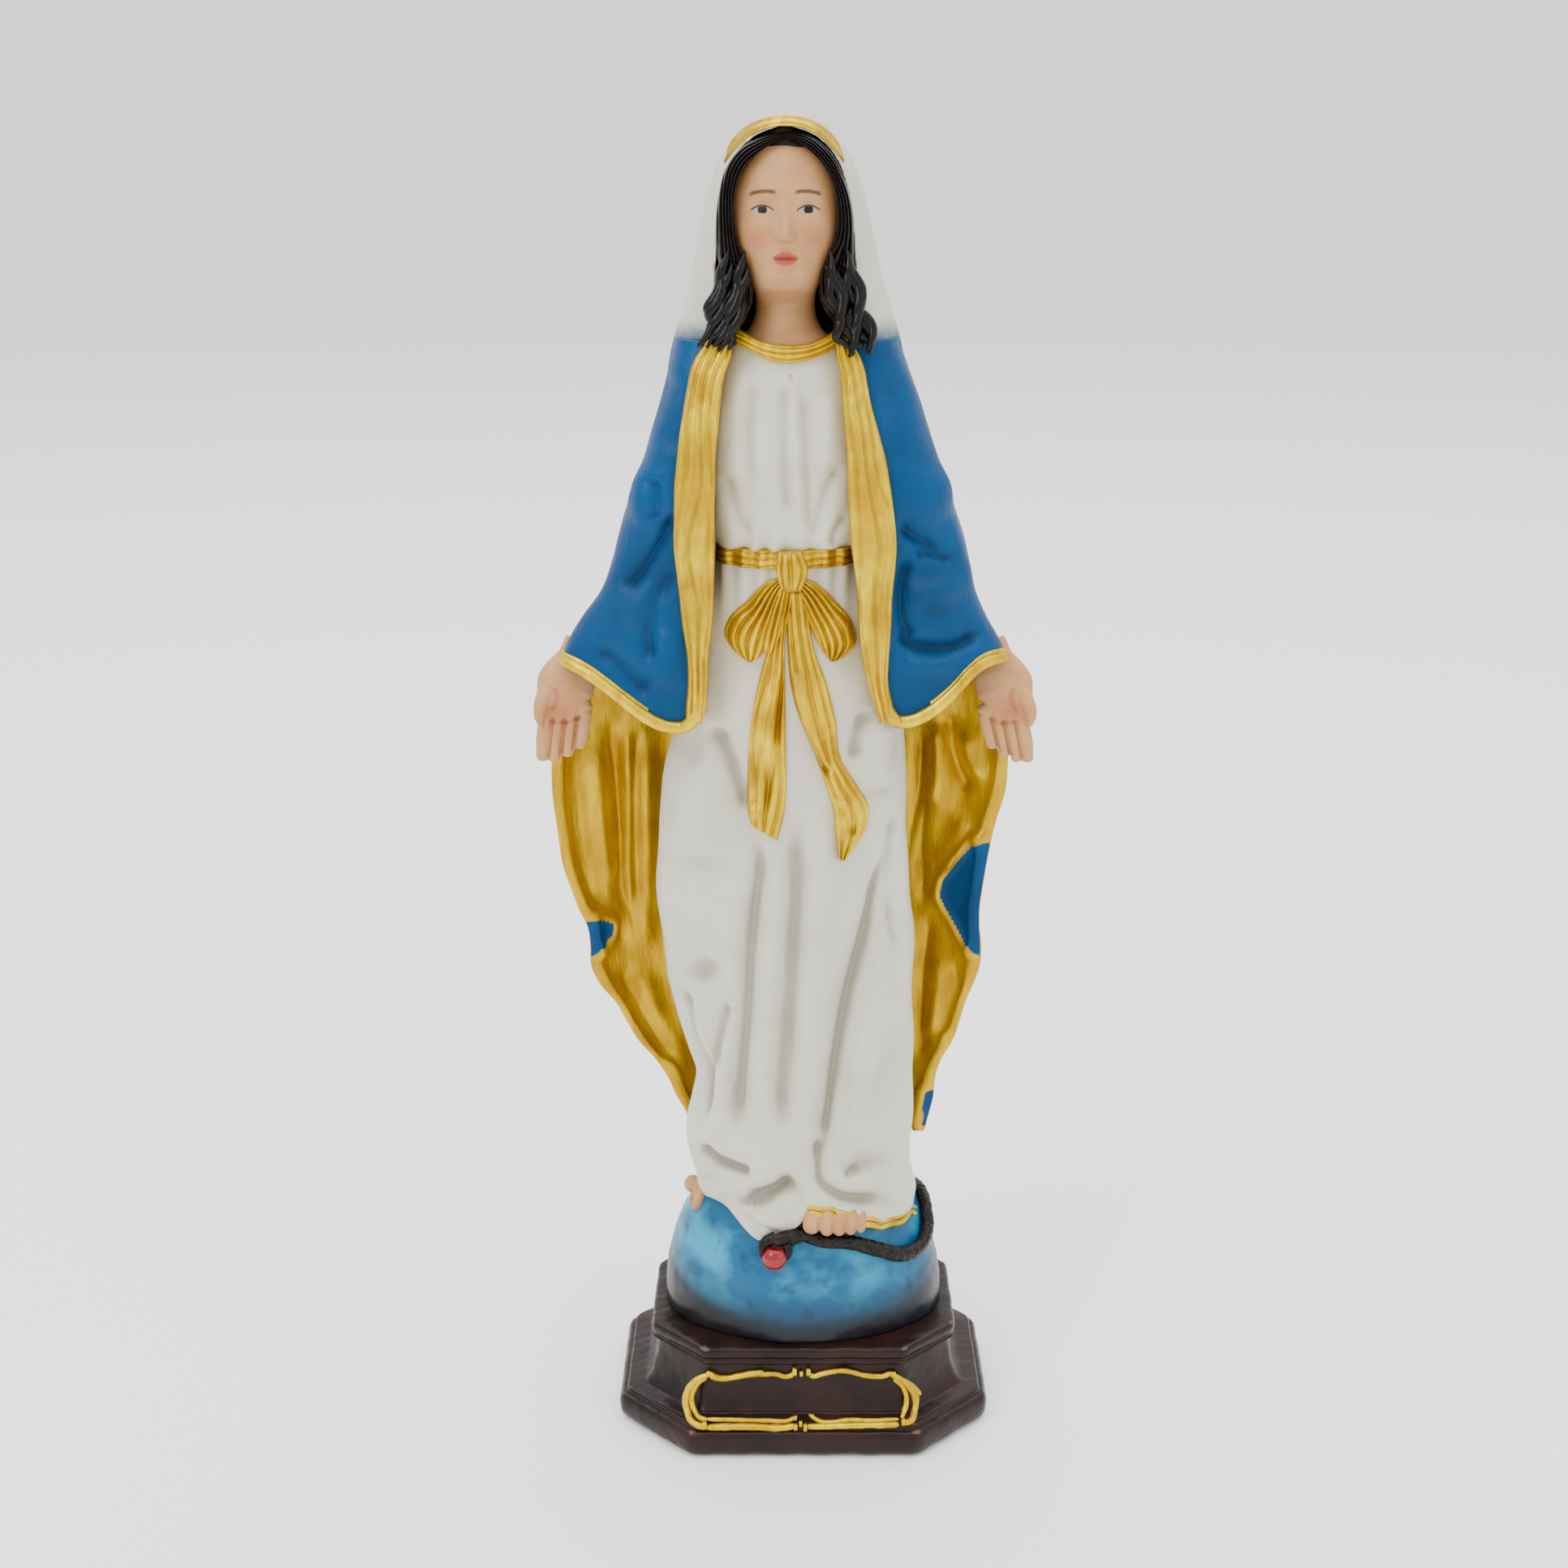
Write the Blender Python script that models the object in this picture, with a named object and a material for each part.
"""A standing madonna in painted cast resin: figure, globe with a serpent, and an octagonal plinth.

Sizes below are in millimetres; MM turns them into Blender's metres. +Z is up, the figure faces -Y, and the
origin is the middle of the underside. Left and right are the figure's own, so left is +X.
Every casting keeps GAP to its neighbours, and each neighbour's cutter is worked out from the same values.
"""

import math

import bmesh
import bpy
import numpy as np
from mathutils import Vector

MM = 0.001

# Fits
GAP = 0.35
PEG_CLEARANCE = 0.35

# Felt pad and plinth
PAD_THICKNESS = 1.2
PAD_PROUD = 0.5
PAD_MARGIN = 3.0
PLINTH_WIDTH = 89.0
PLINTH_DEPTH = 72.0
PLINTH_CHAMFER = 17.5
BEAD_HEIGHT = 7.0
BEAD_ROUND = 3.0
COVE_INSET = 3.2
SLAB_INSET = 9.0
SLAB_BOTTOM = 20.6
SLAB_HEIGHT = 3.7
SLAB_EDGE = 0.8

# Cartouche frame on the front of the cove
FRAME_WIDTH = 52.0
FRAME_HEIGHT = 10.0
FRAME_MIDDLE = 13.6
FRAME_ROD = 1.1

# Globe and its locating spigot
GLOBE_MARGIN = 1.6
GLOBE_MIDDLE_Z = 25.0
GLOBE_HEIGHT = 44.0
SPIGOT_RADIUS = 14.0
SPIGOT_DEPTH = 8.0

# Figure: datum where the front of the hem meets the globe, and the height from there to the crown
FIGURE_DATUM = 48.0
FIGURE_HEIGHT = 257.0
TABLE_HEIGHT = 257.0
FOOT_PEG_RADIUS = 7.0
FOOT_PEG_DEPTH = 14.0

# Serpent and apple
APPLE_RADIUS = 3.1

# Sash
BELT_WIDTH = 5.0
BELT_THICKNESS = 1.2
SASH_THICKNESS = 1.5
BELT_H = 162.0

# Mantle
MANTLE_THICKNESS = 2.0
LINING_THICKNESS = 1.2
LINING_TOP = 126.5
FACING_THICKNESS = 2.4
TRIM_RADIUS = 1.1
MANTLE_TOP = 208.0
PANEL_BOW = 0.5

# Hands
WRIST_PEG_RADIUS = 2.6
WRIST_PEG_LENGTH = 15.0

# Head, hair and veil
VEIL_THICKNESS = 2.0
LOCK_RADIUS = 3.0
VEIL_BAND_RADIUS = 1.0

# Rows: height above the datum, then the section's right, left, front and back
GOWN_ROWS = [
    (-6, -22.5, 23.5, -21.6, 9.0),
    (0, -23.0, 24.2, -22.2, 9.5),
    (8, -24.4, 26.0, -21.8, 9.5),
    (20, -27.0, 25.8, -21.0, 9.5),
    (41, -25.0, 26.0, -20.4, 9.5),
    (62, -30.3, 26.6, -20.0, 9.5),
    (82, -34.3, 26.2, -20.2, 9.0),
    (105, -33.6, 25.4, -19.8, 8.5),
    (125, -30.0, 23.5, -18.6, 8.0),
    (145, -24.5, 17.5, -17.8, 7.0),
    (158, -20.5, 12.6, -16.4, 6.2),
    (163, -20.0, 12.0, -16.0, 6.0),
    (168, -20.8, 12.8, -17.2, 6.4),
    (182, -21.5, 13.8, -17.0, 7.4),
    (196, -20.5, 12.6, -14.4, 7.4),
    (203, -17.2, 9.6, -12.6, 6.8),
    (208, -14.4, 6.8, -10.4, 6.0),
    (211, -12.2, 4.6, -8.8, 5.2),
]
# Rows: height, right and left silhouette, y of the open edge, y of the back's outer face
CLOAK_ROWS = [
    (18, -27.0, 27.0, 5.6, 14.8),
    (22, -27.8, 28.2, 5.0, 15.2),
    (43, -42.5, 37.0, 4.0, 15.8),
    (58, -50.0, 41.8, 3.0, 16.2),
    (71, -50.4, 42.6, 2.0, 16.2),
    (89, -56.0, 44.0, 1.0, 16.0),
    (110, -57.2, 47.3, 0.0, 15.6),
    (125, -56.2, 47.0, -2.0, 15.2),
    (139, -53.6, 44.4, -5.0, 14.8),
    (149, -50.4, 40.8, -5.0, 14.4),
    (160, -44.6, 37.0, -4.0, 14.2),
    (177, -39.0, 32.0, -2.0, 13.8),
    (194, -32.4, 26.2, 0.0, 13.2),
    (204, -28.4, 20.6, 1.0, 11.8),
    (208, -25.5, 17.6, 1.0, 11.0),
]
# Rows: height, inner and outer edge of the gold facing on the right side, then on the left, and its front
FACING_ROWS = [
    (129, -24.2, -27.6, 18.6, 21.4, -20.8),
    (143, -21.2, -26.4, 15.6, 19.4, -20.4),
    (160, -19.8, -27.6, 12.0, 19.6, -18.8),
    (178, -19.6, -27.6, 9.8, 18.4, -17.8),
    (192, -18.4, -25.6, 8.8, 15.0, -15.6),
    (203, -17.0, -22.6, 8.0, 12.4, -12.6),
    (207, -16.4, -20.6, 7.6, 11.0, -10.6),
]
# Rows: height, half width, front and back of the head and neck
HEAD_ROWS = [
    (204, 6.6, -6.6, 5.4),
    (214, 6.3, -6.6, 5.0),
    (217, 6.6, -8.2, 5.4),
    (219, 7.6, -12.4, 6.4),
    (222, 9.2, -13.6, 8.0),
    (228, 10.8, -13.8, 10.0),
    (235, 11.6, -13.6, 11.2),
    (242, 10.8, -13.0, 11.4),
    (248, 7.6, -10.2, 9.4),
    (251, 5.0, -6.0, 6.0),
]
# Rows: height, half width, front and back of the veil's outside
VEIL_ROWS = [
    (208.7, 24.6, -11.0, 12.6),
    (216, 22.0, -10.6, 14.0),
    (226, 19.2, -11.2, 15.6),
    (236, 17.0, -12.2, 16.6),
    (246, 12.9, -12.4, 15.4),
    (252, 8.6, -11.4, 11.6),
    (256, 4.0, -7.6, 6.4),
    (257, 1.2, -3.0, 2.6),
]
# Points under the serpent's middle line on the globe, from its head to its tail: x, y and the body's radius
SERPENT_ROWS = [
    (-6.6, -21.0, 2.7),
    (-4.4, -20.8, 2.9),
    (-1.2, -20.7, 2.2),
    (4.0, -21.0, 2.0),
    (10.4, -20.1, 1.9),
    (16.7, -18.6, 1.9),
    (21.9, -16.3, 1.8),
    (26.4, -12.2, 1.7),
    (28.6, -7.4, 1.6),
    (28.4, -3.4, 1.6),
    (27.6, 1.5, 1.5),
    (26.4, 7.0, 1.4),
    (23.0, 12.6, 1.2),
    (17.4, 16.6, 1.0),
    (10.8, 18.4, 0.6),
]
# Rows: height and half width of the arched opening at the front of the veil
OPENING_ROWS = [
    (200, 17.0), (208, 16.0), (218, 15.0), (229, 14.4), (237, 13.4),
    (243, 11.8), (247, 10.0), (250, 7.4), (252, 4.2), (252.9, 1.0),
]
# Rows: the same for the opening in the hair, round the face
FACE_ROWS = [
    (200, 10.4), (212, 10.6), (222, 11.0), (234, 10.8), (240, 10.0),
    (244.5, 8.4), (247.5, 6.2), (249.6, 3.4), (250.4, 0.8),
]
APPLE_PLACE = (-6.4, -22.2)
HEAD_X = -4.4
HEAD_Y = 0.4
BODY_X = -3.8

COLOURS = {
    "plinth_brown": ((0.030, 0.013, 0.011), 0.35, 0.0),
    "globe_blue": ((0.020, 0.245, 0.480), 0.35, 0.0),
    "serpent_black": ((0.012, 0.011, 0.010), 0.30, 0.0),
    "apple_red": ((0.330, 0.010, 0.018), 0.30, 0.0),
    "gown_white": ((0.640, 0.610, 0.540), 0.45, 0.0),
    "mantle_blue": ((0.008, 0.135, 0.370), 0.38, 0.0),
    "gilding": ((0.600, 0.360, 0.040), 0.32, 0.6),
    "veil_white": ((0.680, 0.650, 0.570), 0.45, 0.0),
    "skin": ((0.660, 0.430, 0.290), 0.42, 0.0),
    "hair_dark": ((0.014, 0.009, 0.010), 0.28, 0.0),
    "felt": ((0.010, 0.060, 0.030), 0.95, 0.0),
}


def clear_scene():
    for obj in list(bpy.data.objects):
        bpy.data.objects.remove(obj)


def finish_material(slot):
    """The one material of a finish, made the first time it is asked for."""
    made = bpy.data.materials.get(slot)
    if made is None:
        colour, roughness, metallic = COLOURS[slot]
        made = bpy.data.materials.new(slot)
        made.use_nodes = True
        shader = made.node_tree.nodes["Principled BSDF"]
        shader.inputs["Base Color"].default_value = (*colour, 1.0)
        shader.inputs["Roughness"].default_value = roughness
        shader.inputs["Metallic"].default_value = metallic
    return made


def rise(h):
    """The level in the row frame of a height in the tables."""
    return FIGURE_DATUM + np.asarray(h, float) * FIGURE_HEIGHT / TABLE_HEIGHT


def read_table(rows, h):
    """The columns of a table at heights h, on a smooth curve through its rows."""
    table = np.array(rows, float)
    at, values = table[:, 0], table[:, 1:]
    slopes = np.gradient(values, at, axis=0)
    h = np.clip(np.atleast_1d(np.asarray(h, float)), at[0], at[-1])
    i = np.clip(np.searchsorted(at, h, side="right") - 1, 0, len(at) - 2)
    span = (at[i + 1] - at[i])[:, None]
    t = ((h - at[i])[:, None]) / span
    return (
        values[i] * (2 * t**3 - 3 * t**2 + 1)
        + slopes[i] * span * (t**3 - 2 * t**2 + t)
        + values[i + 1] * (3 * t**2 - 2 * t**3)
        + slopes[i + 1] * span * (t**3 - t**2)
    )


def mesh_object(name, verts, faces, slot, parent):
    """An object whose origin is the middle of its lowest points, with its faces turned outwards."""
    verts = np.asarray(verts, float)
    low = verts[verts[:, 2] < verts[:, 2].min() + 1.0]
    origin = np.array([*(low[:, :2].min(0) + low[:, :2].max(0)) / 2, low[:, 2].min()])
    mesh = bpy.data.meshes.new(name)
    mesh.from_pydata([tuple(v) for v in (verts - origin) * MM], [], faces)
    work = bmesh.new()
    work.from_mesh(mesh)
    bmesh.ops.recalc_face_normals(work, faces=work.faces)
    work.to_mesh(mesh)
    work.free()
    mesh.shade_smooth()
    mesh.set_sharp_from_angle(angle=math.radians(40))
    obj = bpy.data.objects.new(name, mesh)
    bpy.context.scene.collection.objects.link(obj)
    obj.location = Vector(origin * MM)
    if slot:
        mesh.materials.append(finish_material(slot))
        obj.parent = parent
    else:
        obj.hide_render = True
        obj.display_type = "WIRE"
    return obj


def loft(name, rings, slot, parent=None, fan=True):
    """A closed solid over a stack of rings, an array (rows, points, 3). With no slot it is a cutter.

    A fan closes an end round its middle; without it an end is one flat face, which may be hollow-sided.
    """
    rings = np.asarray(rings, float)
    rows, count, _ = rings.shape
    verts = list(rings.reshape(-1, 3))
    faces = []
    for row in range(rows - 1):
        for i in range(count):
            j = (i + 1) % count
            faces.append((row * count + i, row * count + j, (row + 1) * count + j, (row + 1) * count + i))
    for row in (0, rows - 1):
        ring = [row * count + i for i in range(count)]
        if fan:
            verts.append(rings[row].mean(axis=0))
            faces += [(ring[i], ring[(i + 1) % count], len(verts) - 1) for i in range(count)]
        else:
            faces.append(tuple(ring))
    return mesh_object(name, verts, faces, slot, parent)


def ellipse_rings(levels, right, left, front, back, count, grow=0.0):
    """Rings of ellipses, each given by its right, left, front and back, and grown all round."""
    angle = np.linspace(0, 2 * math.pi, count, endpoint=False)
    levels, right, left, front, back = (np.asarray(v, float)[:, None] for v in (levels, right, left, front, back))
    middle_x = (right + left) / 2
    middle_y = (front + back) / 2
    x = middle_x + ((left - right) / 2 + grow) * np.cos(angle)
    y = middle_y + ((back - front) / 2 + grow) * np.sin(angle)
    return np.stack([x, y, np.broadcast_to(levels, x.shape)], axis=2)


def tube_rings(path, radii, count=10, flat=1.0):
    """Rings of a round rod along a path of points, squeezed towards the path's plane by flat."""
    path = np.asarray(path, float)
    radii = np.broadcast_to(np.asarray(radii, float), len(path))
    along = np.gradient(path, axis=0)
    along /= np.linalg.norm(along, axis=1)[:, None]
    side = np.cross(along, np.array([0.0, 1.0, 0.0]))
    side /= np.linalg.norm(side, axis=1)[:, None]
    out = np.cross(side, along)
    angle = np.linspace(0, 2 * math.pi, count, endpoint=False)[None, :, None]
    width = radii[:, None, None]
    return path[:, None] + width * (np.cos(angle) * side[:, None] + flat * np.sin(angle) * out[:, None])


def tube(name, path, radii, slot, parent, count=10, flat=1.0):
    return loft(name, tube_rings(path, radii, count, flat), slot, parent)


def smooth_path(points, count):
    """A smooth curve through the given points, which it passes at even steps."""
    points = np.asarray(points, float)
    rows = np.column_stack([np.arange(len(points)), points])
    return read_table(rows, np.linspace(0, len(points) - 1, count))


def cylinder_rings(foot, head, radius, count=20):
    return tube_rings(np.array([foot, head], float), radius, count)


def boolean(obj, other, operation="DIFFERENCE"):
    step = obj.modifiers.new(f"{operation.lower()}_{other.name}", "BOOLEAN")
    step.operation = operation
    step.solver = "MANIFOLD"
    step.object = other


def octagon(half_x, half_y, chamfer, z):
    """The eight corners of a rectangle with cut corners, starting at the front and going anticlockwise."""
    corners = [
        (-half_x + chamfer, -half_y), (half_x - chamfer, -half_y), (half_x, -half_y + chamfer),
        (half_x, half_y - chamfer), (half_x - chamfer, half_y), (-half_x + chamfer, half_y),
        (-half_x, half_y - chamfer), (-half_x, -half_y + chamfer),
    ]
    return [(x, y, z) for x, y in corners]


def octagon_inset(inset, z):
    """The plinth's octagon with every side moved in by inset."""
    chamfer = PLINTH_CHAMFER - inset * (2 - math.sqrt(2))
    return octagon(PLINTH_WIDTH / 2 - inset, PLINTH_DEPTH / 2 - inset, chamfer, z)


def cove_inset(z):
    """How far in the hollow moulding is at a level: a quarter-ellipse from the bead up to the slab."""
    share = np.clip((SLAB_BOTTOM - z) / (SLAB_BOTTOM - BEAD_HEIGHT), 0, 1)
    return SLAB_INSET - (SLAB_INSET - COVE_INSET) * (1 - np.sqrt(1 - share**2))


def make_base(parent):
    foot = PAD_PROUD
    rings = [octagon_inset(BEAD_ROUND * 0.5, foot), octagon_inset(0.4, foot + BEAD_ROUND * 0.5)]
    rings += [octagon_inset(0, foot + BEAD_ROUND), octagon_inset(0.9, BEAD_HEIGHT - 0.9)]
    for turn in np.radians(np.linspace(90, 0, 11)):
        z = SLAB_BOTTOM - (SLAB_BOTTOM - BEAD_HEIGHT) * math.sin(turn)
        rings.append(octagon_inset(cove_inset(z), z))
    rings.append(octagon_inset(SLAB_INSET - SLAB_EDGE, SLAB_BOTTOM + 0.4))
    rings.append(octagon_inset(SLAB_INSET - SLAB_EDGE, SLAB_BOTTOM + SLAB_HEIGHT - 0.5))
    rings.append(octagon_inset(SLAB_INSET, SLAB_BOTTOM + SLAB_HEIGHT))
    plinth = loft("plinth", rings, "plinth_brown", parent)

    recess_top = PAD_THICKNESS + GAP
    recess = loft("pad_recess", [octagon_inset(PAD_MARGIN, -1), octagon_inset(PAD_MARGIN, recess_top)], None)
    boolean(plinth, recess)
    pad_edge = PAD_MARGIN + GAP
    loft("base_pad", [octagon_inset(pad_edge, 0), octagon_inset(pad_edge, PAD_THICKNESS)], "felt", parent)

    slab_top = SLAB_BOTTOM + SLAB_HEIGHT
    socket = loft(
        "spigot_socket",
        cylinder_rings((0, 0, slab_top - SPIGOT_DEPTH - GAP), (0, 0, slab_top + 2), SPIGOT_RADIUS + PEG_CLEARANCE, 28),
        None,
    )
    boolean(plinth, socket)


def make_cartouche(parent):
    """A closed rod round a long oval with straight sides, standing on the slope of the cove."""
    half_x = FRAME_WIDTH / 2 - FRAME_HEIGHT / 2
    half_z = FRAME_HEIGHT / 2
    turn = np.linspace(-math.pi / 2, math.pi / 2, 9)
    right_end = np.stack([half_x + half_z * np.cos(turn), half_z * np.sin(turn)], axis=1)
    loop = np.concatenate([right_end, -right_end])
    z = FRAME_MIDDLE + loop[:, 1]
    slope = (cove_inset(z + 0.1) - cove_inset(z - 0.1)) / 0.2
    y = -(PLINTH_DEPTH / 2 - cove_inset(z)) - (FRAME_ROD + GAP + 0.1) * np.sqrt(1 + slope**2)
    middle = np.stack([loop[:, 0], y, z], axis=1)
    along = np.roll(middle, -1, axis=0) - np.roll(middle, 1, axis=0)
    along /= np.linalg.norm(along, axis=1)[:, None]
    side = np.cross(along, [0.0, 1.0, 0.0])
    side /= np.linalg.norm(side, axis=1)[:, None]
    out = np.cross(side, along)
    angle = np.linspace(0, 2 * math.pi, 8, endpoint=False)[None, :, None]
    rings = middle[:, None] + FRAME_ROD * (np.cos(angle) * side[:, None] + np.sin(angle) * out[:, None])
    rows, count, _ = rings.shape
    faces = []
    for row in range(rows):
        for i in range(count):
            here, there = row * count, (row + 1) % rows * count
            j = (i + 1) % count
            faces.append((here + i, here + j, there + j, there + i))
    mesh_object("cartouche_frame", rings.reshape(-1, 3), faces, "gilding", parent)


def globe_radii():
    return PLINTH_WIDTH / 2 - SLAB_INSET - GLOBE_MARGIN, PLINTH_DEPTH / 2 - SLAB_INSET - GLOBE_MARGIN


def globe_rings(grow, low):
    """Rings of the dome from its rim to its crown, every ring pushed out by grow."""
    radius_x, radius_y = globe_radii()
    turn = np.linspace(math.asin(max(-1.0, (low - GLOBE_MIDDLE_Z) / (GLOBE_HEIGHT + grow))), math.radians(86), 12)
    z = GLOBE_MIDDLE_Z + (GLOBE_HEIGHT + grow) * np.sin(turn)
    x = (radius_x + grow) * np.cos(turn)
    y = (radius_y + grow) * np.cos(turn)
    return ellipse_rings(z, -x, x, -y, y, 32)


def on_globe(x, y, lift):
    """The point of the dome over (x, y), pushed off its surface by lift."""
    radius_x, radius_y = globe_radii()
    share = np.clip(1 - (x / radius_x) ** 2 - (y / radius_y) ** 2, 0.02, 1)
    z = GLOBE_HEIGHT * np.sqrt(share)
    normal = np.stack([x / radius_x**2, y / radius_y**2, z / GLOBE_HEIGHT**2], axis=-1)
    normal /= np.linalg.norm(normal, axis=-1)[..., None]
    return np.stack([x, y, GLOBE_MIDDLE_Z + z], axis=-1) + lift * normal


def make_globe(parent):
    slab_top = SLAB_BOTTOM + SLAB_HEIGHT
    rim = slab_top + GAP
    dome = globe_rings(0, rim)
    angle = np.linspace(0, 2 * math.pi, 32, endpoint=False)
    foot = np.stack([SPIGOT_RADIUS * np.cos(angle), SPIGOT_RADIUS * np.sin(angle), 0 * angle], axis=1)
    low = foot + [0, 0, slab_top - SPIGOT_DEPTH]
    globe = loft("globe", np.concatenate([[low], [foot + [0, 0, rim]], dome]), "globe_blue", parent)
    socket_floor = GLOBE_MIDDLE_Z + GLOBE_HEIGHT - FOOT_PEG_DEPTH - GAP
    socket = loft(
        "foot_socket",
        cylinder_rings(
            (0, 0, socket_floor), (0, 0, GLOBE_MIDDLE_Z + GLOBE_HEIGHT + 5), FOOT_PEG_RADIUS + PEG_CLEARANCE
        ),
        None,
    )
    boolean(globe, socket)


def serpent_line():
    """The serpent's middle line: from its head at the front, under the toes and round the left to its tail."""
    x, y, radii = np.array(SERPENT_ROWS).T
    radius_x, radius_y = globe_radii()
    x, y = x * radius_x / 33.9, y * radius_y / 25.4
    points = np.array([on_globe(a, b, r + GAP + 0.1) for a, b, r in zip(x, y, radii)])
    return smooth_path(points, 48), smooth_path(np.column_stack([radii] * 3), 48)[:, 0]


def make_serpent(parent):
    """The serpent, with the seat in its jaws that the apple lies in, and the apple."""
    path, radii = serpent_line()
    serpent = tube("serpent", path, radii, "serpent_black", parent, 10)
    middle = on_globe(*(np.array(APPLE_PLACE) * globe_radii() / (33.9, 25.4)), APPLE_RADIUS + GAP)

    def ball(name, radius, slot):
        turn = np.linspace(-80, 80, 9)
        z = middle[2] + radius * np.sin(np.radians(turn))
        r = radius * np.cos(np.radians(turn))
        rings = ellipse_rings(z, middle[0] - r, middle[0] + r, middle[1] - r, middle[1] + r, 16)
        return loft(name, rings, slot, parent)

    ball("apple", APPLE_RADIUS, "apple_red")
    boolean(serpent, ball("apple_clearance", APPLE_RADIUS + GAP, None))


def gown_sides(h):
    return read_table(GOWN_ROWS, h).T


def gown_front(x, h):
    """y of the front of the gown at x and at a height in the tables."""
    right, left, front, back = gown_sides(h)
    share = np.clip((np.asarray(x) - (right + left) / 2) / ((left - right) / 2), -0.999, 0.999)
    return (front + back) / 2 - (back - front) / 2 * np.sqrt(1 - share**2)


def gown_rings(grow, rows=24):
    h = np.linspace(GOWN_ROWS[0][0], GOWN_ROWS[-1][0], rows)
    return ellipse_rings(rise(h), *gown_sides(h), 32, grow)


def make_gown(parent, cutters):
    gown = loft("gown", gown_rings(0), "gown_white", parent)
    boolean(gown, cutters["globe"])
    boolean(gown, cutters["neck"])
    boolean(gown, cutters["serpent"])
    boolean(gown, cutters["under_serpent"])
    peg_foot = GLOBE_MIDDLE_Z + GLOBE_HEIGHT - FOOT_PEG_DEPTH
    peg = loft("foot_peg", cylinder_rings((0, 0, peg_foot), (0, 0, rise(40)), FOOT_PEG_RADIUS), None)
    boolean(gown, peg, "UNION")


def make_feet(parent, cutters):
    """Toes of the left foot under the raised hem, and of the right foot at the side."""
    for name, x, y, half, reach in (("foot_left", 6.6, -18.8, 7.0, 5.4), ("foot_right", -25.2, -4.0, 2.4, 4.2)):
        middle = on_globe(np.array(x), np.array(y), 2.4)
        turn = np.radians(np.linspace(-80, 80, 7))
        z = middle[2] + 3.0 * np.sin(turn)
        wide, deep = half * np.cos(turn), reach * np.cos(turn)
        rings = ellipse_rings(z, x - wide, x + wide, y - deep, y + deep, 20)
        foot = loft(name, rings, "skin", parent)
        for key in ("globe", "gown", "serpent", "hem"):
            boolean(foot, cutters[key])


def hem_line():
    """The gilded edge of the hem over the left foot, from the middle out to the left."""
    x = np.linspace(0.5, 25.0, 12)
    h = 8.6 - 6.0 * (x / 25.0) + 0.9 * np.cos(x * 0.42)
    z = rise(h)
    radius_x, radius_y = globe_radii()
    share = 1 - (x / radius_x) ** 2 - ((z - GLOBE_MIDDLE_Z) / GLOBE_HEIGHT) ** 2
    y = np.minimum(gown_front(x, h), -radius_y * np.sqrt(np.clip(share, 0, 1)) - 0.8) - TRIM_RADIUS - GAP - 0.4
    return np.stack([x, y, z], axis=1)


def make_hem_trim(parent, cutters):
    trim = tube("hem_trim", hem_line(), TRIM_RADIUS, "gilding", parent, 8)
    boolean(trim, cutters["gown"])


def make_sash(parent):
    """Belt, knot, two drooping loops and two tails, all lying on the gown."""
    half = BELT_WIDTH / 2
    middle = float(rise(BELT_H))
    h = BELT_H + np.array([-1, 1]) * half * TABLE_HEIGHT / FIGURE_HEIGHT
    levels = np.array([middle - half, middle + half])
    sides = gown_sides(np.array([BELT_H - 3, BELT_H, BELT_H + 3])).T
    right, left = sides[:, 0].min(), sides[:, 1].max()
    front, back = sides[:, 2].min(), sides[:, 3].max()
    box = [np.full(2, v) for v in (right, left, front, back)]
    outer = loft(
        "belt", ellipse_rings(levels, *box, 32, GAP + BELT_THICKNESS + 0.6), "gilding", parent
    )
    bore = loft("belt_bore", ellipse_rings(levels + [-2, 2], *box, 32, GAP + 0.6), None)
    boolean(outer, bore)

    belt_front = front - GAP - BELT_THICKNESS - 0.6
    knot_y = belt_front - GAP - SASH_THICKNESS
    turn = np.radians(np.linspace(-80, 80, 7))
    z = rise(BELT_H - 1.5) + 4.2 * np.sin(turn)
    wide, deep = 2.6 * np.cos(turn), SASH_THICKNESS * np.cos(turn)
    rings = ellipse_rings(z, BODY_X - wide, BODY_X + wide, knot_y - deep, knot_y + deep, 14)
    loft("bow_knot", rings, "gilding", parent)

    ribbons = {
        "bow_loop_right": ([(-7.0, 158.0), (-11.0, 151.5), (-14.8, 146.0), (-14.2, 142.5)], [1.6, 3.6, 4.4, 1.8]),
        "bow_loop_left": ([(-0.6, 158.0), (3.4, 151.8), (7.6, 147.0), (7.6, 143.2)], [1.6, 3.6, 4.4, 1.8]),
        "sash_tail_right": ([(-5.2, 154.2), (-6.2, 138.0), (-8.2, 118.0), (-7.6, 101.5)], [1.1, 3.0, 3.6, 2.2]),
        "sash_tail_left": (
            [(-2.2, 154.2), (0.2, 138.0), (3.4, 120.0), (9.6, 104.0), (9.2, 96.5)], [1.1, 2.6, 2.8, 3.2, 1.4],
        ),
    }
    for name, (points, widths) in ribbons.items():
        line = smooth_path([(x, 0, h) for x, h in points], 12)
        width = np.interp(np.linspace(0, 1, 12), np.linspace(0, 1, len(widths)), widths)
        lift = SASH_THICKNESS + GAP + 0.2
        line[:, 1] = np.minimum.reduce([gown_front(line[:, 0] + s * width, line[:, 2]) for s in (-1, 0, 1)]) - lift
        line[:, 2] = rise(line[:, 2])
        tube(name, line, width, "gilding", parent, 12, SASH_THICKNESS / 4.4)


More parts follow.
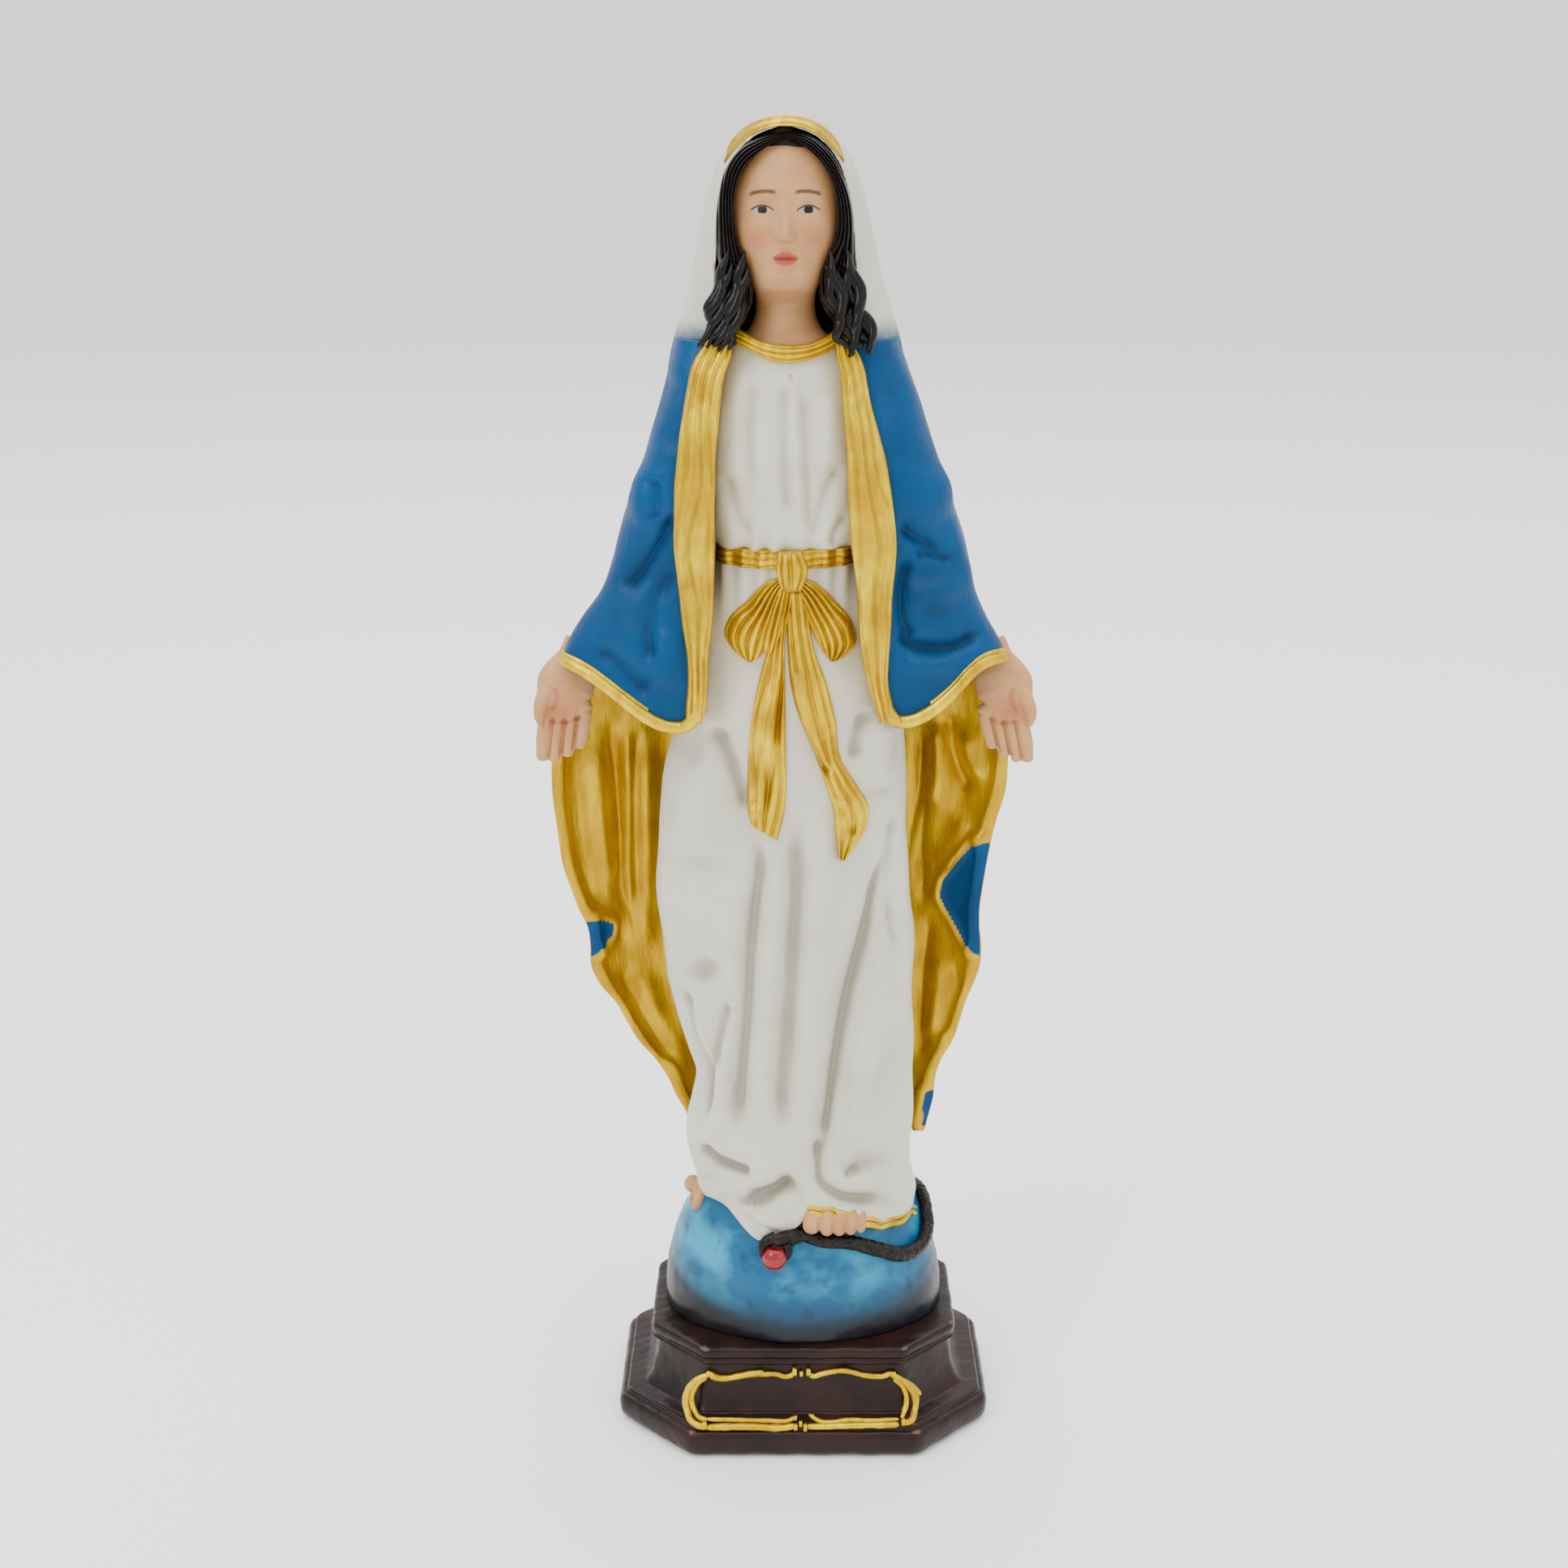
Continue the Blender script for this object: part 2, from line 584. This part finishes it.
def cloak_section(h, inset_out, inset_in, count=18):
    """The closed outline of the cloak's sheet at a height: its outer face, then back along its inner face."""
    right, left, edge, back = read_table(CLOAK_ROWS, [h])[0]
    middle, half = (right + left) / 2, (left - right) / 2
    turn = np.linspace(math.pi, 0, count)

    def face(inset):
        x = middle + (half - inset) * np.cos(turn)
        y = edge + (back - edge - inset) * np.sin(turn) ** 0.8
        return np.stack([x, y, np.full(count, float(rise(h)))], axis=1)

    return np.concatenate([face(inset_out), face(inset_in)[::-1]])


def cloak_inner(x, h, inset):
    """y of the cloak's face at that inset, over x, at a height."""
    right, left, edge, back = read_table(CLOAK_ROWS, h).T
    middle, half = (right + left) / 2, (left - right) / 2
    share = np.clip((x - middle) / (half - inset), -1, 1)
    return edge + (back - edge - inset) * (1 - share**2) ** 0.4


def make_cloak(parent, cutters):
    """The blue back of the mantle and the gilded lining inside its lower part."""
    heights = np.linspace(CLOAK_ROWS[0][0], CLOAK_ROWS[-1][0], 24)
    rings = [cloak_section(h, 0, MANTLE_THICKNESS) for h in heights]
    loft("mantle_back", rings, "mantle_blue", parent, fan=False)
    start = MANTLE_THICKNESS + GAP + 0.15
    rings = [cloak_section(h, start, start + LINING_THICKNESS) for h in heights[heights < LINING_TOP]]
    lining = loft("mantle_lining", rings, "gilding", parent, fan=False)
    boolean(lining, cutters["gown"])


def hem_height(share):
    """The height of the sleeve's hem, from its front corner (0) out to the wrist (1)."""
    return 127.0 + 12.0 * share**1.4


def make_mantle_side(parent, cutters, side):
    """One front panel of the mantle with the arm inside it: side is -1 on the right and 1 on the left."""
    name = "right" if side < 0 else "left"
    columns, rows = 9, 12
    share = np.linspace(0, 1, columns)
    rings = []
    for v in np.linspace(0, 1, rows):
        h = hem_height(share) * (1 - v) + (MANTLE_TOP - 1.0) * v
        cloak = read_table(CLOAK_ROWS, h)
        facing = read_table(FACING_ROWS, h)
        outer = cloak[:, 0] if side < 0 else cloak[:, 1]
        start = facing[:, 1] - GAP * 1.6 if side < 0 else facing[:, 3] + GAP * 1.6
        x = start + (outer - start) * np.sin(share * math.pi / 2) ** 0.9
        edge = cloak[:, 2] - GAP * 2
        y = edge + (facing[:, 4] - edge) * np.cos(share * math.pi / 2) ** PANEL_BOW
        front = np.stack([x, y, rise(h)], axis=1)
        inner_x = start + (outer - side * (MANTLE_THICKNESS + 1.2) - start) * share
        inner_y = cloak_inner(inner_x, h, MANTLE_THICKNESS + GAP) - GAP * 1.6
        inner_y[-1] = edge[-1]
        back = np.stack([inner_x, inner_y, rise(h)], axis=1)
        rings.append(np.concatenate([front, back[::-1]]))
    panel = loft(f"mantle_{name}", rings, "mantle_blue", parent, fan=False)
    for key in ("gown", "belt", "lining", f"wrist_{name}"):
        boolean(panel, cutters[key])


def make_facing(parent, cutters, side):
    """The gilded facing down one front edge of the mantle."""
    name = "right" if side < 0 else "left"
    inner, outer = (1, 2) if side < 0 else (3, 4)
    rings = []
    for h in np.linspace(FACING_ROWS[0][0], FACING_ROWS[-1][0], 12):
        row = np.concatenate([[h], read_table(FACING_ROWS, [h])[0]])
        z = float(rise(h))
        x = np.linspace(row[inner], row[outer], 4)
        y = np.full(4, row[5]) + np.array([1.2, 0.2, 0, 0.6])
        front = np.stack([x, y, np.full(4, z)], axis=1)
        back = front + [0, FACING_THICKNESS, 0]
        rings.append(np.concatenate([front, back[::-1]]))
    facing = loft(f"facing_{name}", rings, "gilding", parent, fan=False)
    boolean(facing, cutters["gown"])
    boolean(facing, cutters["belt"])


def make_cuff_trim(parent, side):
    """The gilded roll along the sleeve's hem, from the front corner to the wrist."""
    name = "right" if side < 0 else "left"
    share = np.linspace(0.06, 0.80, 14)
    h = hem_height(share)
    cloak = read_table(CLOAK_ROWS, h)
    facing = read_table(FACING_ROWS, h)
    outer = cloak[:, 0] if side < 0 else cloak[:, 1]
    start = facing[:, 1] if side < 0 else facing[:, 3]
    x = start + (outer - start) * np.sin(share * math.pi / 2) ** 0.9
    edge = cloak[:, 2]
    y = edge + (facing[:, 4] - edge) * np.cos(share * math.pi / 2) ** PANEL_BOW + TRIM_RADIUS
    z = rise(h) - TRIM_RADIUS - GAP - 0.1
    tube(f"cuff_trim_{name}", np.stack([x, y, z], axis=1), TRIM_RADIUS, "gilding", parent, 8)


def wrist(side):
    """Where a hand's peg enters the sleeve, and the way the peg points."""
    h = 132.5
    x = float(np.where(side < 0, -52.4, 43.4))
    return np.array([x, -8.4, float(rise(h))]), np.array([-side * 0.42, 0.10, 0.90])


def make_hand(parent, side):
    """An open hand held low with the palm forward: a mitten, a thumb and the peg that holds it."""
    name = "right" if side < 0 else "left"
    root, up = wrist(side)
    path = root + np.array([
        (0, 0, -0.3), (side * 1.6, -0.8, -5), (side * 2.6, -1.8, -10), (side * 3.2, -2.6, -15), (side * 3.6, -2.8, -19),
    ])
    line = smooth_path(path, 10)
    width = np.interp(np.linspace(0, 1, 10), [0, 0.25, 0.6, 0.85, 1], [3.2, 4.8, 5.0, 3.6, 1.6])
    hand = tube(f"hand_{name}", line, width, "skin", parent, 14, 0.42)
    thumb_root = line[3] + [-side * 2.0, 0, 0]
    thumb = tube(f"thumb_{name}", smooth_path([thumb_root, thumb_root + [-side * 3.6, -1.2, -3.4],
                 thumb_root + [-side * 4.2, -1.6, -6.6]], 6), [1.9, 1.8, 1.7, 1.6, 1.4, 0.8], None, None, 10)
    boolean(hand, thumb, "UNION")
    up = up / np.linalg.norm(up)
    peg_rings = cylinder_rings(root - up * 2.5, root + up * WRIST_PEG_LENGTH, WRIST_PEG_RADIUS, 16)
    peg = loft(f"wrist_peg_{name}", peg_rings, None)
    boolean(hand, peg, "UNION")


def head_rings(grow, low=0):
    rows = np.array(HEAD_ROWS[low:], float)
    h = np.linspace(rows[0, 0], rows[-1, 0], 18)
    half, front, back = read_table(rows, h).T
    z = rise(h)
    z[0], z[-1] = z[0] - grow, z[-1] + grow
    return ellipse_rings(z, HEAD_X - half, HEAD_X + half, HEAD_Y + front, HEAD_Y + back, 28, grow)


def veil_rings(shrink):
    rows = np.array(VEIL_ROWS, float)
    h = np.linspace(rows[0, 0], rows[-1, 0], 18)
    half, front, back = read_table(rows, h).T
    half, front, back = np.maximum(half - shrink, 0.4), np.minimum(front + shrink, -0.4), np.maximum(back - shrink, 0.4)
    z = rise(h) - shrink * np.clip((h - 236) / 21, 0, 1)
    return ellipse_rings(z, HEAD_X - half, HEAD_X + half, HEAD_Y + front, HEAD_Y + back, 32)


def veil_cavity():
    """The hollow under the veil: an oval round the hair, with a slot straight out to the front as its opening."""
    top = OPENING_ROWS[-1][0]
    h = np.concatenate([np.linspace(OPENING_ROWS[0][0], top, 18), np.linspace(top + 0.3, VEIL_ROWS[-1][0], 6)])
    half, front, back = read_table(VEIL_ROWS, h).T
    half = np.maximum(half - VEIL_THICKNESS, 0.6)
    front, back = np.minimum(front + VEIL_THICKNESS, -0.5), np.maximum(back - VEIL_THICKNESS, 0.5)
    middle, deep = ((front + back) / 2)[:, None], ((back - front) / 2)[:, None]
    opening = np.minimum(read_table(OPENING_ROWS, h)[:, 0], half * 0.95)
    z = rise(h) - VEIL_THICKNESS * np.clip((h - 236) / 21, 0, 1)
    flank = np.arccos(opening / half)[:, None] * np.linspace(1, 0, 6)[:-1]
    side_x, side_y = half[:, None] * np.cos(flank), middle - deep * np.sin(flank)
    turn = np.linspace(0, math.pi, 17)
    slot_y = np.where(h > top, side_y[:, 0] - 0.1, -40.0)[:, None]
    mouth = opening[:, None]
    x = np.hstack([mouth, side_x, half[:, None] * np.cos(turn), -side_x[:, ::-1], -mouth])
    y = np.hstack([slot_y, side_y, middle + deep * np.sin(turn), side_y[:, ::-1], slot_y])
    return np.stack([HEAD_X + x, HEAD_Y + y, np.broadcast_to(z[:, None], x.shape)], axis=2)


def face_window(rows, depth):
    """A cutter that opens the front: an arch given by its half width at each height, reaching back to depth."""
    h, half = np.array(rows).T
    x = HEAD_X + np.concatenate([half, -half[::-1]])
    z = rise(np.concatenate([h, h[::-1]]))
    near = np.stack([x, np.full(len(x), -40.0), z], axis=1)
    return np.array([near, near + [0, 40.0 + depth, 0]])


def make_head(parent, cutters):
    """Head and neck, the hair round them, its two long locks, and the veil with its gilded edge."""
    head = loft("head", head_rings(0), "skin", parent)
    bridge, tip = rise(235.5), rise(229.5)
    nose = tube_rings([(HEAD_X, -11.6, bridge), (HEAD_X, -13.2, (bridge + tip) / 2), (HEAD_X, -13.4, tip)],
                      [0.9, 1.4, 1.9], 12)
    boolean(head, loft("nose", nose, None), "UNION")

    hair_shrink = VEIL_THICKNESS + 2.2 * GAP
    hair = loft("hair", veil_rings(hair_shrink)[4:], "hair_dark", parent)
    hair_window = loft("hair_window", face_window(FACE_ROWS, -4.0), None, fan=False)
    for cutter in (cutters["head"], hair_window):
        boolean(hair, cutter)

    for side, name in ((-1, "right"), (1, "left")):
        x = HEAD_X + side * 11.4
        path = smooth_path([(x - side * 0.4, -7.6, rise(233)), (x + side * 0.2, -7.8, rise(224)),
                            (x - side * 0.6, -8.4, rise(216)), (x + side * 1.8, -9.6, rise(210.6))], 12)
        radii = np.interp(np.linspace(0, 1, 12), [0, 0.3, 0.8, 1], [1.6, LOCK_RADIUS - 0.5, LOCK_RADIUS - 0.7, 1.2])
        lock = tube(f"hair_lock_{name}", path, radii, "hair_dark", parent, 10)
        for key in ("head", "hair"):
            boolean(lock, cutters[key])

    veil = loft("veil", veil_rings(0), "veil_white", parent)
    boolean(veil, loft("veil_cavity", veil_cavity(), None, fan=False))

    rows = np.array(OPENING_ROWS[4:])
    rim = np.concatenate([rows, rows[::-1] * [1, -1]])
    rim = smooth_path(np.column_stack([rim, rim[:, 0]]), 25)
    half, front, _ = read_table(VEIL_ROWS, rim[:, 0]).T
    share = np.clip(rim[:, 1] / half, -0.97, 0.97)
    y = HEAD_Y + front * np.sqrt(1 - share**2) - VEIL_BAND_RADIUS - GAP - 0.3
    z = rise(rim[:, 0]) + 0.9
    tube("veil_band", np.stack([HEAD_X + rim[:, 1] * 1.05, y, z], axis=1), VEIL_BAND_RADIUS, "gilding", parent, 8)


def make_collar(parent, cutters):
    """The gilded neckline, a rod lying round the front of the neck."""
    turn = np.radians(np.linspace(192, 348, 15))
    x = BODY_X + 12.0 * np.cos(turn)
    y = -2.6 + 10.2 * np.sin(turn)
    z = rise(211.4) + 4.6 * np.sin(turn)
    collar = tube("collar", np.stack([x, y, z], axis=1), TRIM_RADIUS, "gilding", parent, 8)
    for key in ("gown", "head"):
        boolean(collar, cutters[key])


def make_cutters():
    """The shapes that neighbours are cut with: each casting grown by the gap."""
    made = {
        "globe": loft("globe_clearance", globe_rings(GAP, SLAB_BOTTOM), None),
        "gown": loft("gown_clearance", gown_rings(GAP), None),
        "neck": loft("neck_clearance", head_rings(GAP)[:6], None),
        "head": loft("head_clearance", head_rings(GAP), None),
        "hair": loft("hair_clearance", veil_rings(VEIL_THICKNESS), None),
    }
    path, radii = serpent_line()
    made["serpent"] = loft("serpent_clearance", tube_rings(path, radii + GAP, 10), None)
    below = tube_rings(path + [0, 1.2, -1.6], radii + GAP + 0.4, 10)
    made["under_serpent"] = loft("under_serpent", below, None)
    made["hem"] = loft("hem_clearance", tube_rings(hem_line(), TRIM_RADIUS + GAP, 8), None)
    sides = gown_sides(np.array([BELT_H - 3, BELT_H, BELT_H + 3])).T
    box = [np.full(2, v) for v in (sides[:, 0].min(), sides[:, 1].max(), sides[:, 2].min(), sides[:, 3].max())]
    reach = BELT_WIDTH / 2 + GAP
    levels = float(rise(BELT_H)) + np.array([-reach, reach])
    made["belt"] = loft("belt_clearance", ellipse_rings(levels, *box, 32, 2 * GAP + BELT_THICKNESS + 0.6), None)
    start = MANTLE_THICKNESS
    heights = np.linspace(CLOAK_ROWS[0][0] + 1, LINING_TOP + GAP, 12)
    rings = [cloak_section(h, start, start + LINING_THICKNESS + 2 * GAP) for h in heights]
    made["lining"] = loft("lining_clearance", rings, None, fan=False)
    for side, name in ((-1, "right"), (1, "left")):
        root, up = wrist(side)
        up = up / np.linalg.norm(up)
        made[f"wrist_{name}"] = loft(
            f"wrist_socket_{name}",
            cylinder_rings(root - up * 8, root + up * (WRIST_PEG_LENGTH + GAP), WRIST_PEG_RADIUS + PEG_CLEARANCE, 16),
            None,
        )
    return made


def main():
    clear_scene()
    statue = bpy.data.objects.new("madonna_statue", None)
    bpy.context.scene.collection.objects.link(statue)
    cutters = make_cutters()
    make_base(statue)
    make_cartouche(statue)
    make_globe(statue)
    make_serpent(statue)
    make_gown(statue, cutters)
    make_feet(statue, cutters)
    make_hem_trim(statue, cutters)
    make_sash(statue)
    make_cloak(statue, cutters)
    for side in (-1, 1):
        make_mantle_side(statue, cutters, side)
        make_facing(statue, cutters, side)
        make_cuff_trim(statue, side)
        make_hand(statue, side)
    make_head(statue, cutters)
    make_collar(statue, cutters)


main()
